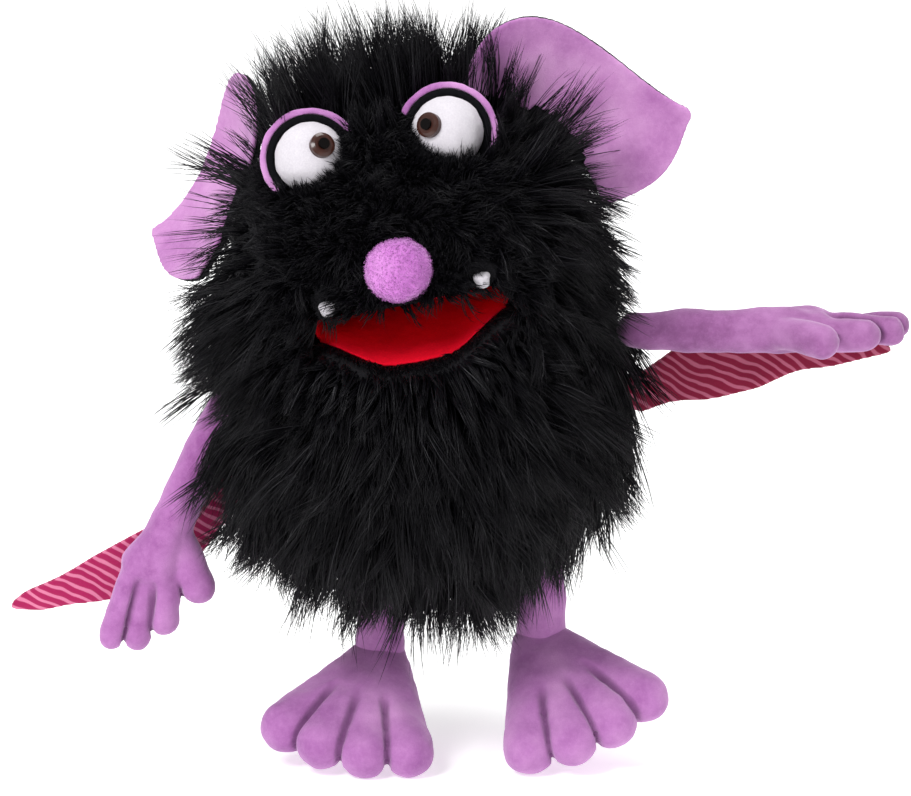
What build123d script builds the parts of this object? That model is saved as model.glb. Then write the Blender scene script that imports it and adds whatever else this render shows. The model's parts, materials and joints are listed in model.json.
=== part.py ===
"""Moving mouth puppet: a long-haired bat with a hand cavity, sewn from separate pieces.

Millimetres, +Z up. The puppet faces -Y and hangs from the hand inside it, toes just touching Z = 0.
The origin is on that floor, under the middle of the overall size; the limbs stand in the plane
Y = MIDDLE_Y.
"left" and "right" are the puppet's own sides, so its left hand is at +X.

The head is a ball, and the body is a cup that the ball sits in. Both are built in the HEAD frame,
whose origin is the centre of the ball: the jaw, the nod and the turn all pivot there.
"""

import os
from math import asin, cos, pi, radians, sin, sqrt

from build123d import *

SIDES = {"left": 1, "right": -1}
MIDDLE_Y = 1.75

# Head frame: the whole body leans towards the puppet's right.
LEAN = 11
HEAD_CENTRE = (-23, MIDDLE_Y, 228)

# Pelts: a backing cloth with its pile, as one thick shell.
PELT_INNER = 84
PELT_OUTER = 97
FACE_RADIUS = 116  # the short pile of the face, a flatter ball that trims the front
FACE_CENTRE = (0, 25, -5)
HEAD_HEM = -48  # the head pelt ends here, inside the body's cup
PADDING_FLOOR = 58  # underside of the padding in the crown

# Mouth: an upper and a lower plate that fold at the centre of the ball.
MOUTH_HALF_WIDTH = 47
LANE_GAP = 1.5  # room on each side of the chin
UPPER_ANGLE = 9  # palate surface above the horizontal
LOWER_ANGLE = 11  # mouth floor surface below it
CHIN_ANGLE = 42  # lower end of the chin pelt
MOUTH_DEPTH = 80
LINING = 1.5
BOARD = 2
FOLD_RADIUS = 3

# Body cup
BODY_CENTRE = (0, 0, -42)
BODY_RADIUS = 103
BODY_WALL = 14
BODY_LINING = 1.5
SEAT_RADIUS = 99.5  # hollow that the head ball turns in
NECK_BAND = (97.5, 99.0)
NECK_BAND_TOP = -44
NECK_BAND_HOLE = 62
NECKLINE_FRONT = (0, -100, -62)  # the cup's rim below the chin
NECKLINE_RISE = 18.4  # and its slope up to the nape

# Hand opening, low at the back.
OPENING_RADIUS = 40
HEM_WALL = 4
OPENING_TILT = 40  # from straight down towards the back
HEM_START, HEM_END = 76, 94  # along the opening's axis, from the body's centre

# Face
EYE_CENTRE = (33, -45, 83)
EYE_RADIUS = 17
EYE_FELT = 2.2
GAZE = (-7.2, -13.2, 7.8)  # from the eye's centre to the iris, both towards the nose
IRIS_RADIUS, PUPIL_RADIUS, IRIS_HEIGHT = 6, 2.7, 2.6
IRIS_DOME = 10
SHANK_RADIUS = 1.5
WASHER_RADIUS, WASHER_DEPTH = 6, 4.7
LID_LINING = (17.3, 20.7)
LID = (20.9, 24)
LID_AHEAD = (0, -0.93, 0.37)  # the lid lies behind the eye's middle, seen this way
LID_OUTWARD = (0.55, 0, 0.83)  # and round its upper outer side
NOSE_RADIUS = 15.5
NOSE_CENTRE = (0, -91, 34)
FANG_ROUND = 1.7
FANG_AT = (37, -84.5, 18.5)
FANG_LENGTH, FANG_ROOT, FANG_TIP = 8.5, 4.6, 2.8

# Ears
EAR_ANGLE = {"left": 36, "right": 30}  # of each root's middle, above the head frame's X
EAR_ROOT_RADIUS = 101.5
EAR_DEPTH = {"left": 8, "right": 50}  # how far each root sits behind the head's middle
EAR_SWEEP = {"left": 0, "right": 66}  # how far each ear is bent back at rest
EAR_CLOTH = 2.4
EAR_DISH = 108  # radius of the ball that dishes the ear, where its two cloths meet
EAR_FOCUS = (22, 6, 106)  # middle of that ball in the ear's frame, on its front side
EAR_BARREL = 4.3

# Limbs
SHOULDER = (100, 0, -41)
ARM_LENGTH = 54
SHOULDER_RADIUS = 8.5
ARM_RADIUS = 10.5
ARM_DROP = {"left": 0, "right": 66}  # degrees below the horizontal at rest
HAND_DROP = {"left": 0, "right": 72}
ARM_SWING = (-36, 78)  # both arms, from above the horizontal to below it
HIP_SWING = 25
ANKLE_SWING = 25
WING_Y = 27
WING_CLOTH = 1.9
WING_AT = 89
WING_ROOT = 9
WING_SLOT = 31
HIP = {"left": (39.5, MIDDLE_Y, 97.5), "right": (-37, MIDDLE_Y, 86.5)}
ANKLE = {"left": (38.4, MIDDLE_Y, 48.5), "right": (-39.9, MIDDLE_Y, 40.65)}
HIP_RADIUS, LEG_RADIUS = 9, 11.5
FOOT_YAW = {"left": 24, "right": 17}  # toes outwards
FOOT_PITCH = {"left": 21, "right": 20}  # toes down
FOOT_ROLL = {"left": 22, "right": 8}  # outer edge up
TOE_ANGLES = (-30, -10, 10, 30)
TOE_REACH, TOE_RADIUS, TOE_DROP = 62, 11.5, 9
HEEL_RADIUS = 17
SOLE_AT, SOLE = -16, 2
GAP = 0.5  # running room between parts that move against each other

STANDING = (Align.CENTER, Align.CENTER, Align.MIN)
HANGING = (Align.CENTER, Align.CENTER, Align.MAX)

HEAD = Plane(
    origin=HEAD_CENTRE,
    x_dir=(cos(radians(LEAN)), 0, sin(radians(LEAN))),
    z_dir=(-sin(radians(LEAN)), 0, cos(radians(LEAN))),
)


def in_head(point):
    """A point of the head frame, in the part's own frame."""
    return HEAD.from_local_coords(Vector(*point))


def head_plane(plane):
    """A plane given in the head frame, in the part's own frame."""
    return Plane(HEAD.location * plane.location)


def save(builder, name):
    """Labels a finished piece and writes its STEP."""
    builder.part.label = name
    export_step(builder.part, f"parts/{name}.step")


def tube(start, end, start_radius, end_radius, mode=Mode.ADD):
    """A tapered round tube with ball ends, added to the part being built."""
    start, end = Vector(*start), Vector(*end)
    run = end - start
    across = run.cross(Vector(0.31, 0.83, 0.47))
    slope = (start_radius - end_radius) / run.length
    tangent = pi / 2 - asin(slope)

    def on_ball(centre, radius, angle):
        return (centre + radius * cos(angle), radius * sin(angle))

    with BuildSketch(Plane(origin=start, x_dir=run, z_dir=across)) as profile:
        with BuildLine():
            first = on_ball(0, start_radius, tangent)
            last = on_ball(run.length, end_radius, tangent)
            ThreePointArc((-start_radius, 0), on_ball(0, start_radius, (pi + tangent) / 2), first)
            Line(first, last)
            ThreePointArc(
                last, on_ball(run.length, end_radius, tangent / 2), (run.length + end_radius, 0)
            )
            Line((run.length + end_radius, 0), (-start_radius, 0))
        make_face()
    revolve(profile.sketch, axis=Axis(start, run), mode=mode)


def barrel(centre, axis, radius, length, mode=Mode.ADD):
    """A cylinder centred on a point, added to the part being built."""
    with BuildSketch(Plane(origin=Vector(*centre), z_dir=axis)) as disc:
        Circle(radius)
    extrude(disc.sketch, amount=length / 2, both=True, mode=mode)


def swing_room(pivot, axis, rest, radius, low, high, reach=60):
    """Cuts the slot a round limb sweeps as it swings about an axis, from one angle to another."""
    axis = Vector(*axis).normalized()
    side_face = Plane(origin=Vector(*pivot) - axis * radius, x_dir=rest, z_dir=axis)
    with BuildSketch(side_face) as swept:
        Circle(radius)
        steps = 6
        for step in range(steps + 1):
            Rectangle(
                reach,
                2 * radius,
                rotation=low + (high - low) * step / steps,
                align=(Align.MIN, Align.CENTER),
            )
    extrude(swept.sketch, amount=2 * radius, mode=Mode.SUBTRACT)


def sector(low, high, half_width, mode):
    """The wedge between two angles about the head frame's X, in front of the jaw's fold."""
    reach = 260
    with BuildSketch(head_plane(Plane.YZ.offset(-half_width))) as wedge:
        with BuildLine():
            Polyline(
                (0, 0),
                (-reach * cos(radians(low)), reach * sin(radians(low))),
                (-reach * cos(radians(high)), reach * sin(radians(high))),
                close=True,
            )
        make_face()
    extrude(wedge.sketch, amount=2 * half_width, mode=mode)


def pelt_ball():
    """The shell of backing and pile that the head and the chin are cut from."""
    Sphere(PELT_OUTER)
    with Locations(FACE_CENTRE):
        Sphere(FACE_RADIUS, mode=Mode.INTERSECT)
    Sphere(PELT_INNER, mode=Mode.SUBTRACT)


def mirrored(point, side):
    """A point of the left side, on the asked side."""
    return (SIDES[side] * point[0], point[1], point[2])


# ---- head -----------------------------------------------------------------------------------


def build_head_fur():
    with BuildPart(HEAD) as head_fur:
        pelt_ball()
        sector(-90, UPPER_ANGLE, MOUTH_HALF_WIDTH + LANE_GAP, Mode.SUBTRACT)
        with Locations((0, 0, HEAD_HEM)):
            Box(240, 240, 120, align=HANGING, mode=Mode.SUBTRACT)
        for side in SIDES:
            with Locations(mirrored(EYE_CENTRE, side)):
                Sphere(EYE_RADIUS + 0.1, mode=Mode.SUBTRACT)
            with Locations(mirrored(FANG_AT, side)):
                Cylinder(FANG_ROOT + 0.2, FANG_LENGTH + 4, mode=Mode.SUBTRACT)
    save(head_fur, "head_fur")


def build_head_padding():
    with BuildPart(HEAD) as head_padding:
        Sphere(PELT_INNER - GAP)
        with Locations((0, 0, PADDING_FLOOR)):
            Box(200, 200, 200, align=HANGING, mode=Mode.SUBTRACT)
        for side in SIDES:
            with Locations(mirrored(EYE_CENTRE, side)):
                Sphere(EYE_RADIUS + 0.3, mode=Mode.SUBTRACT)
    save(head_padding, "head_padding")


def plate_plane(angle):
    """The plane through the fold that a mouth plate lies in, its Z up."""
    return Plane(origin=(0, 0, 0), x_dir=(1, 0, 0), z_dir=(0, sin(radians(angle)), cos(radians(angle))))


def mouth_plate(angle, offset, thickness, reach):
    """A round-fronted plate, offset from the fold's plane to the side away from the mouth."""
    way = 1 if angle > 0 else -1
    with BuildSketch(head_plane(plate_plane(angle).offset(way * offset))) as outline:
        Circle(reach)
        Rectangle(2 * MOUTH_HALF_WIDTH - 3, 2 * reach, mode=Mode.INTERSECT)
        with Locations((0, reach - FOLD_RADIUS - GAP)):
            Rectangle(3 * reach, 2 * reach, mode=Mode.SUBTRACT)
    extrude(outline.sketch, amount=way * thickness)


def build_mouth():
    for name, angle, offset, thickness, reach in (
        ("palate_lining", UPPER_ANGLE, 0, LINING, MOUTH_DEPTH),
        ("upper_mouth_board", UPPER_ANGLE, LINING, BOARD, MOUTH_DEPTH - 2),
        ("mouth_floor_lining", -LOWER_ANGLE, 0, LINING, MOUTH_DEPTH),
        ("lower_mouth_board", -LOWER_ANGLE, LINING, BOARD, MOUTH_DEPTH - 2),
    ):
        with BuildPart() as plate:
            mouth_plate(angle, offset, thickness, reach)
        save(plate, name)

    with BuildPart() as mouth_fold:
        barrel(in_head((0, 0, 0)), HEAD.x_dir, FOLD_RADIUS, 2 * MOUTH_HALF_WIDTH - 4)
    save(mouth_fold, "mouth_fold")

    for side, way in SIDES.items():
        inner, cloth, back, front = MOUTH_HALF_WIDTH - 1.3, 0.8, 8, 62
        with BuildPart() as gusset:
            with BuildSketch(head_plane(Plane.YZ.offset(way * inner))) as web:
                with BuildLine():
                    corners = (
                        (back, UPPER_ANGLE), (front, UPPER_ANGLE), (front, -LOWER_ANGLE), (back, -LOWER_ANGLE)
                    )
                    Polyline(
                        *((-far * cos(radians(turn)), far * sin(radians(turn))) for far, turn in corners),
                        close=True,
                    )
                make_face()
            extrude(web.sketch, amount=way * cloth)
        save(gusset, f"mouth_gusset_{side}")


def build_pockets():
    """Cloth arches on the mouth plates that hold the fingers and the thumb."""
    cloth, front, depth, corner = 1.6, -50, 30, 13
    for name, angle, width, height in (
        ("finger_pocket", UPPER_ANGLE, 78, 34),
        ("thumb_pocket", -LOWER_ANGLE, 42, 28),
    ):
        way = 1 if angle > 0 else -1
        plate = plate_plane(angle)
        foot = way * (LINING + BOARD + 0.05)
        start = plate.from_local_coords(Vector(0, front, foot))
        with BuildPart() as pocket:
            for shrink, mode in ((0, Mode.ADD), (cloth, Mode.SUBTRACT)):
                across = Plane(origin=start, x_dir=plate.x_dir, z_dir=plate.y_dir)
                with BuildSketch(head_plane(across)) as arch:
                    RectangleRounded(width - 2 * shrink, 2 * (height - shrink), corner - shrink)
                extrude(arch.sketch, amount=depth, mode=mode)
            with BuildSketch(head_plane(plate.offset(foot))) as beyond:
                Rectangle(300, 300)
            extrude(beyond.sketch, amount=-way * 100, mode=Mode.SUBTRACT)
        save(pocket, name)


def build_eyes():
    for side, way in SIDES.items():
        centre = in_head(mirrored(EYE_CENTRE, side))
        gaze = (in_head(mirrored(GAZE, side)) - in_head((0, 0, 0))).normalized()

        with BuildPart() as eyeball:
            with Locations(centre):
                Sphere(EYE_RADIUS)
                Sphere(EYE_RADIUS - EYE_FELT, mode=Mode.SUBTRACT)
            barrel(centre + gaze * EYE_RADIUS, gaze, SHANK_RADIUS + 0.05, 12, mode=Mode.SUBTRACT)
        save(eyeball, f"eyeball_{side}")

        with BuildPart() as iris:
            barrel(centre + gaze * (EYE_RADIUS - 1), gaze, IRIS_RADIUS, 2 * IRIS_HEIGHT + 2)
            with Locations(centre + gaze * (EYE_RADIUS + IRIS_HEIGHT + 1 - IRIS_DOME)):
                Sphere(IRIS_DOME, mode=Mode.INTERSECT)
            with Locations(centre):
                Sphere(EYE_RADIUS, mode=Mode.SUBTRACT)
            barrel(centre + gaze * (EYE_RADIUS - 3), gaze, SHANK_RADIUS, 10)
            barrel(centre + gaze * (EYE_RADIUS + 3), gaze, PUPIL_RADIUS, 3.4, mode=Mode.SUBTRACT)
        save(iris, f"iris_{side}")

        with BuildPart() as pupil:
            barrel(centre + gaze * (EYE_RADIUS + 2.7), gaze, PUPIL_RADIUS, 2.4)
        save(pupil, f"pupil_{side}")

        with BuildPart() as washer:
            behind = centre + gaze * (EYE_RADIUS - WASHER_DEPTH)
            barrel(behind, gaze, WASHER_RADIUS, 1.4)
            barrel(behind, gaze, SHANK_RADIUS, 3, mode=Mode.SUBTRACT)
        save(washer, f"eye_washer_{side}")

        # The lid is a half ball behind the eye's middle, open below on the nose's side.
        ahead = Vector(*LID_AHEAD)
        outward = Vector(way * LID_OUTWARD[0], *LID_OUTWARD[1:])
        for name, (inner, outer) in (("eyelid_lining", LID_LINING), ("eyelid", LID)):
            with BuildPart() as lid:
                with Locations(centre):
                    Sphere(outer)
                    Sphere(inner, mode=Mode.SUBTRACT)
                for direction, keep in ((-ahead, -0.5), (outward, -5)):
                    edge = Plane(origin=centre + direction.normalized() * keep, z_dir=-direction)
                    with BuildSketch(edge) as far_side:
                        Rectangle(90, 90)
                    extrude(far_side.sketch, amount=60, mode=Mode.SUBTRACT)
                with Locations(in_head((0, 0, 0))):
                    Sphere(PELT_OUTER + GAP, mode=Mode.SUBTRACT)
            save(lid, f"{name}_{side}")


def build_nose():
    with BuildPart(HEAD) as nose:
        with Locations(NOSE_CENTRE):
            Sphere(NOSE_RADIUS)
        with Locations(FACE_CENTRE):
            Sphere(FACE_RADIUS, mode=Mode.SUBTRACT)
    save(nose, "nose")


def build_fangs():
    for side in SIDES:
        with BuildPart(HEAD) as fang:
            with Locations(mirrored(FANG_AT, side)):
                Cone(FANG_TIP, FANG_ROOT, FANG_LENGTH)
            fillet(fang.edges().filter_by(GeomType.CIRCLE), FANG_ROUND)
        save(fang, f"fang_{side}")


# ---- lower jaw --------------------------------------------------------------------------------


def build_chin():
    with BuildPart(HEAD) as chin_fur:
        pelt_ball()
        sector(-CHIN_ANGLE, -LOWER_ANGLE - 1, MOUTH_HALF_WIDTH, Mode.INTERSECT)
    save(chin_fur, "chin_fur")


# ---- body -------------------------------------------------------------------------------------


def body_ball(radius, mode=Mode.ADD):
    with Locations(in_head(BODY_CENTRE)):
        Sphere(radius, mode=mode)


def cut_seat():
    with Locations(in_head((0, 0, 0))):
        Sphere(SEAT_RADIUS, mode=Mode.SUBTRACT)


def cut_neckline():
    """Opens the cup above a plane that falls from the nape to below the chin."""
    rise = radians(NECKLINE_RISE)
    slope = Plane(origin=NECKLINE_FRONT, x_dir=(1, 0, 0), z_dir=(0, -sin(rise), cos(rise)))
    with BuildSketch(head_plane(slope)) as above:
        Rectangle(300, 500)
    extrude(above.sketch, amount=160, mode=Mode.SUBTRACT)


def opening_axis():
    """Where the hand opening's axis starts, and its direction out of the body."""
    tilt = radians(OPENING_TILT)
    start = in_head(BODY_CENTRE)
    tip = in_head(Vector(*BODY_CENTRE) + Vector(0, sin(tilt), -cos(tilt)))
    return start, tip - start


def cut_opening(radius):
    start, out = opening_axis()
    barrel(start + out * 90, out, radius, 80, mode=Mode.SUBTRACT)


def arm_direction(side, drop):
    return Vector(SIDES[side] * cos(radians(drop)), 0, -sin(radians(drop)))


def cut_limb_room():
    """Hollows in the body's pelt for the arms, the wings and the legs, over their whole swing."""
    for side, way in SIDES.items():
        shoulder = in_head(mirrored(SHOULDER, side))
        flat = arm_direction(side, 0)
        down = arm_direction(side, 90)
        swing_room(shoulder, flat.cross(down), flat, ARM_RADIUS + 1.2, *ARM_SWING)
        with Locations(HIP[side]):
            Sphere(LEG_RADIUS, mode=Mode.SUBTRACT)
        slot = Plane(
            origin=wing_root(side) - Vector(0, 2 * WING_CLOTH, 0),
            x_dir=HEAD.x_dir * way,
            z_dir=(0, 1, 0),
        )
        with BuildSketch(slot) as room:
            Circle(WING_SLOT)
            with Locations((-1, 0)):
                Rectangle(WING_SLOT, 3 * WING_SLOT, align=(Align.MAX, Align.CENTER), mode=Mode.SUBTRACT)
            Circle(WING_ROOT + GAP)
        extrude(room.sketch, amount=4 * WING_CLOTH, mode=Mode.SUBTRACT)


def build_body():
    with BuildPart() as body_fur:
        body_ball(BODY_RADIUS)
        body_ball(BODY_RADIUS - BODY_WALL, Mode.SUBTRACT)
        cut_seat()
        cut_neckline()
        cut_opening(OPENING_RADIUS + HEM_WALL)
        cut_limb_room()
    save(body_fur, "body_fur")

    with BuildPart() as body_lining:
        body_ball(BODY_RADIUS - BODY_WALL - GAP)
        body_ball(BODY_RADIUS - BODY_WALL - GAP - BODY_LINING, Mode.SUBTRACT)
        cut_seat()
        cut_neckline()
        cut_opening(OPENING_RADIUS + HEM_WALL)
    save(body_lining, "body_lining")

    start, out = opening_axis()
    with BuildPart() as opening_hem:
        middle = start + out * ((HEM_START + HEM_END) / 2)
        barrel(middle, out, OPENING_RADIUS + HEM_WALL, HEM_END - HEM_START)
        barrel(middle, out, OPENING_RADIUS, HEM_END, mode=Mode.SUBTRACT)
    save(opening_hem, "opening_hem")

    with BuildPart(HEAD) as neck_band:
        Sphere(NECK_BAND[1])
        Sphere(NECK_BAND[0], mode=Mode.SUBTRACT)
        with Locations((0, 0, NECK_BAND_TOP)):
            Box(240, 240, 240, align=STANDING, mode=Mode.SUBTRACT)
        Cylinder(NECK_BAND_HOLE, 400, mode=Mode.SUBTRACT)
        cut_neckline()
    save(neck_band, "neck_band")


# ---- ears -------------------------------------------------------------------------------------


def ear_frame(side):
    """The ear's own plane: origin in the middle of its root, X outwards, Y along the root, upwards."""
    angle, way, depth = radians(EAR_ANGLE[side]), SIDES[side], EAR_DEPTH[side]
    reach = sqrt(EAR_ROOT_RADIUS**2 - depth**2)
    middle = in_head((way * reach * cos(angle), depth, reach * sin(angle)))
    root = in_head((-way * sin(angle), 0, cos(angle))) - in_head((0, 0, 0))
    flat = in_head((way * cos(angle), 0, sin(angle))) - in_head((0, 0, 0))
    sweep = radians(EAR_SWEEP[side])
    outwards = flat * cos(sweep) + Vector(0, 1, 0) * sin(sweep)
    return Plane(origin=middle, x_dir=outwards, z_dir=outwards.cross(root))


def ear_panel(side, inner, outer):
    """The ear's outline, dished by keeping it between two balls in front of it."""
    frame = ear_frame(side)
    to_front = -1 if frame.z_dir.Y > 0 else 1
    with BuildSketch(frame) as outline:
        with BuildLine():
            lower_root, upper_root = (-9, -38), (-14, 50)
            under_tip, over_tip = (49, -39.5), (52, -32)
            Spline(lower_root, (9.6, -46), (24.8, -47.5), (40, -43.5), under_tip)
            ThreePointArc(under_tip, (53, -36.5), over_tip)
            Spline(over_tip, (47, -4), (43, 30), (33.5, 51), (18, 59), (2, 57), upper_root)
            ThreePointArc(upper_root, (0.5, 2), lower_root)
        make_face()
    extrude(outline.sketch, amount=40, both=True)
    across, along, ahead = EAR_FOCUS
    focus = frame.from_local_coords(Vector(across, along, to_front * ahead))
    with Locations(focus):
        Sphere(outer, mode=Mode.INTERSECT)
        Sphere(inner, mode=Mode.SUBTRACT)
    with Locations(in_head((0, 0, 0))):
        Sphere(PELT_OUTER + 1, mode=Mode.SUBTRACT)


def build_ears():
    for side in SIDES:
        frame = ear_frame(side)
        with BuildPart() as ear_back:
            ear_panel(side, EAR_DISH + 0.1, EAR_DISH + EAR_CLOTH)
            barrel(frame.origin, frame.y_dir, EAR_BARREL, 34)
        save(ear_back, f"ear_back_{side}")
        with BuildPart() as ear_front:
            ear_panel(side, EAR_DISH - EAR_CLOTH, EAR_DISH)
            barrel(frame.origin, frame.y_dir, EAR_BARREL + 0.1, 36, mode=Mode.SUBTRACT)
        save(ear_front, f"ear_front_{side}")


# ---- arms and wings ---------------------------------------------------------------------------


def wrist(side):
    return in_head(mirrored(SHOULDER, side)) + arm_direction(side, ARM_DROP[side]) * ARM_LENGTH


def hand_frame(side):
    """X along the hand from the wrist, Y towards the thumb."""
    along = arm_direction(side, HAND_DROP[side])
    if side == "left":
        return Plane(origin=wrist(side), x_dir=along, z_dir=(0, 0, -1))
    return Plane(origin=wrist(side), x_dir=along, z_dir=(0, -1, 0))


# Each digit as (root, tip, radius), in the hand's frame.
DIGITS = (
    ((17, 5, 0), (35.5, 20.6, 0), 8.6),
    ((36, 2, 0), (56, 9, 0), 8.6),
    ((37, -8, 0), (70, 1, 0), 7.5),
    ((38, -17, 0), (74.5, -11, 0), 7),
)
PALM = ((9.5, -2, 11), (33, 2.5, 9.5), (33, -13.5, 9.5))  # its outline's circles as (x, y, radius)
PALM_THICKNESS = 19


def build_arms():
    for side in SIDES:
        shoulder = in_head(mirrored(SHOULDER, side))
        frame = hand_frame(side)
        with BuildPart() as arm:
            tube(shoulder, wrist(side), SHOULDER_RADIUS, ARM_RADIUS)
            barrel(shoulder, (0, 1, 0), SHOULDER_RADIUS, 10)
        save(arm, f"arm_{side}")

        with BuildPart() as hand:
            with BuildSketch(frame.offset(-PALM_THICKNESS / 2)) as palm:
                for x, y, radius in PALM:
                    with Locations((x, y)):
                        Circle(radius)
                make_hull()
            extrude(palm.sketch, amount=PALM_THICKNESS)
            fillet(hand.edges(), PALM_THICKNESS / 2 - 1)
            for root, tip, radius in DIGITS:
                tube(
                    frame.from_local_coords(Vector(*root)),
                    frame.from_local_coords(Vector(*tip)),
                    radius - 0.8,
                    radius,
                )
            with Locations(wrist(side)):
                Sphere(ARM_RADIUS + GAP, mode=Mode.SUBTRACT)
            heel_side = Plane(origin=frame.from_local_coords(Vector(3, 0, 0)), z_dir=-frame.x_dir)
            with BuildSketch(heel_side) as cut:
                Rectangle(80, 80)
            extrude(cut.sketch, amount=40, mode=Mode.SUBTRACT)
        save(hand, f"hand_{side}")


def wing_root(side):
    return in_head((SIDES[side] * WING_AT, WING_Y, -78))


# Wing outlines round the root, upper edge out to the tip and lower edge back, as (x, z) from the root.
WING_EDGES = {
    "left": (
        (6, 10), (20, 20), (38, 31), (62, 33), (100, 31), (124, 26),
        (128, 22), (120, 19), (98, 14),
        (82, 11), (66, 4), (52, 0), (36, -3), (18, -5), (5, -8),
    ),
    "right": (
        (-5, 8), (-18, -1), (-40, -23), (-63, -36), (-85, -49), (-106, -61), (-120, -69),
        (-123, -73), (-117, -75), (-96, -72),
        (-76, -69), (-50, -60), (-34, -50), (-18, -30), (-6, -12),
    ),
}


def build_wings():
    for side in SIDES:
        for name, near in (("wing_front", -WING_CLOTH - 0.05), ("wing_back", 0.05)):
            layer = Plane(origin=wing_root(side) + Vector(0, near, 0), x_dir=(1, 0, 0), z_dir=(0, 1, 0))
            with BuildPart() as wing:
                with BuildSketch(layer) as leaf:
                    with BuildLine():
                        Spline(*((x, -z) for x, z in WING_EDGES[side]), periodic=True)
                    make_face()
                    Circle(WING_ROOT)
                extrude(leaf.sketch, amount=WING_CLOTH, dir=layer.z_dir)
            save(wing, f"{name}_{side}")


# ---- legs and feet ----------------------------------------------------------------------------


def foot_frame(side):
    """X along the foot to the toes, Z up off the sole, origin at the ankle, and the ankle's hinge."""
    yaw, pitch, way = radians(FOOT_YAW[side]), radians(FOOT_PITCH[side]), SIDES[side]
    roll = radians(FOOT_ROLL[side])
    ahead = Vector(way * sin(yaw), -cos(yaw), 0)
    outwards = Vector(way * cos(yaw), sin(yaw), 0)
    toes = ahead * cos(pitch) - Vector(0, 0, sin(pitch))
    level = ahead * sin(pitch) + Vector(0, 0, cos(pitch))
    sole_up = level * cos(roll) - outwards * sin(roll)
    return Plane(origin=ANKLE[side], x_dir=toes, z_dir=sole_up), outwards


def foot_form(frame):
    """The fan of four toes, before it is cut into an upper and a sole."""
    for number, angle in enumerate(TOE_ANGLES):
        toe = (TOE_REACH * cos(radians(angle)), TOE_REACH * sin(radians(angle)), -TOE_DROP)
        heel = (2 + 0.3 * number, 0, -2)
        tube(
            frame.from_local_coords(Vector(*heel)),
            frame.from_local_coords(Vector(*toe)),
            HEEL_RADIUS - 0.2 * number,
            TOE_RADIUS,
        )


def keep_slab(frame, low, high):
    with BuildSketch(frame.offset(low)) as slab:
        Rectangle(220, 220)
    extrude(slab.sketch, amount=high - low, mode=Mode.INTERSECT)


def build_legs():
    for side in SIDES:
        hip, ankle = Vector(*HIP[side]), Vector(*ANKLE[side])
        frame, hinge = foot_frame(side)
        with BuildPart() as leg:
            tube(hip, ankle, HIP_RADIUS, LEG_RADIUS)
            barrel(hip, (1, 0, 0), HIP_RADIUS, 10)
        save(leg, f"leg_{side}")

        with BuildPart() as foot_upper:
            foot_form(frame)
            keep_slab(frame, SOLE_AT + SOLE, 40)
            swing_room(ankle, hinge, hip - ankle, LEG_RADIUS + 0.8, -ANKLE_SWING, ANKLE_SWING)
        save(foot_upper, f"foot_upper_{side}")

        with BuildPart() as foot_sole:
            foot_form(frame)
            keep_slab(frame, SOLE_AT, SOLE_AT + SOLE)
        save(foot_sole, f"foot_sole_{side}")


os.makedirs("parts", exist_ok=True)
build_head_fur()
build_head_padding()
build_mouth()
build_pockets()
build_eyes()
build_nose()
build_fangs()
build_chin()
build_body()
build_ears()
build_arms()
build_wings()
build_legs()
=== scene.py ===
"""Moving mouth puppet: a black long-haired bat in lavender velour, dressed over its CAD frame.

Everything is in metres in the CAD's own frame. The head frame has its origin at the jaw's fold,
X across the mouth towards the puppet's left, Y to the back and Z up through the crown.
"""

import json
import math

import bmesh
import bpy
import numpy as np
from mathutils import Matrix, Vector, kdtree, noise


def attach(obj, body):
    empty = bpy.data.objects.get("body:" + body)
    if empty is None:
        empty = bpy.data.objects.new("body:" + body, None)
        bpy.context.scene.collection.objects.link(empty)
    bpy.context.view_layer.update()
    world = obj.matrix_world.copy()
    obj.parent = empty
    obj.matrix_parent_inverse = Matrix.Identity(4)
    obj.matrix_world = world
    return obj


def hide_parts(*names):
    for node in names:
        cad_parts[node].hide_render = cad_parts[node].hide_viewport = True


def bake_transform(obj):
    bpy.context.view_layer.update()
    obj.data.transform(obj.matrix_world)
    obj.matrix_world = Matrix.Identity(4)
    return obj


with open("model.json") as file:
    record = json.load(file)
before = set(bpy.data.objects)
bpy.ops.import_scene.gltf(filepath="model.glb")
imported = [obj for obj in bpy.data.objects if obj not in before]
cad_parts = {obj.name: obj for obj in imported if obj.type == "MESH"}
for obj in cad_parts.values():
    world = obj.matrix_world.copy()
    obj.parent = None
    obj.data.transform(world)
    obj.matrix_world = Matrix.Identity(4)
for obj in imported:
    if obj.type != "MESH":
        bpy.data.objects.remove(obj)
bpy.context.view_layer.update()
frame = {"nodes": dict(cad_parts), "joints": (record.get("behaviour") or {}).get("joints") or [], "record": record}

MM = 0.001
UP = np.array((0.0, 0.0, 1.0))
SIDES = {"left": 1, "right": -1}  # the sign of X on each of the puppet's own sides
JOINTS = {joint["name"]: joint for joint in frame["joints"]}
MOUNTS = {mount["name"]: mount for mount in frame["record"]["mounts"]}


def joint_at(name):
    return np.array(JOINTS[name]["pos_m"], float)


def joint_axis(name):
    return np.array(JOINTS[name]["axis"], float)


def unit(v):
    return v / np.maximum(np.linalg.norm(v, axis=-1, keepdims=True), 1e-12)


HEAD_AT = joint_at("jaw_open")
HEAD_X = joint_axis("head_nod")
HEAD_Z = joint_axis("head_turn")
HEAD_Y = np.cross(HEAD_Z, HEAD_X)
HEAD_AXES = np.column_stack([HEAD_X, HEAD_Y, HEAD_Z])


def from_head(points):
    """Head-frame millimetres to the scene's metres."""
    return HEAD_AT + MM * (np.asarray(points, float) @ HEAD_AXES.T)


def to_head(points):
    """The scene's metres to head-frame millimetres."""
    return (np.asarray(points, float) - HEAD_AT) @ HEAD_AXES / MM


def smoothstep(low, high, x):
    t = np.clip((np.asarray(x, float) - low) / (high - low), 0, 1)
    return t * t * (3 - 2 * t)


# ---- materials ----


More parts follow.
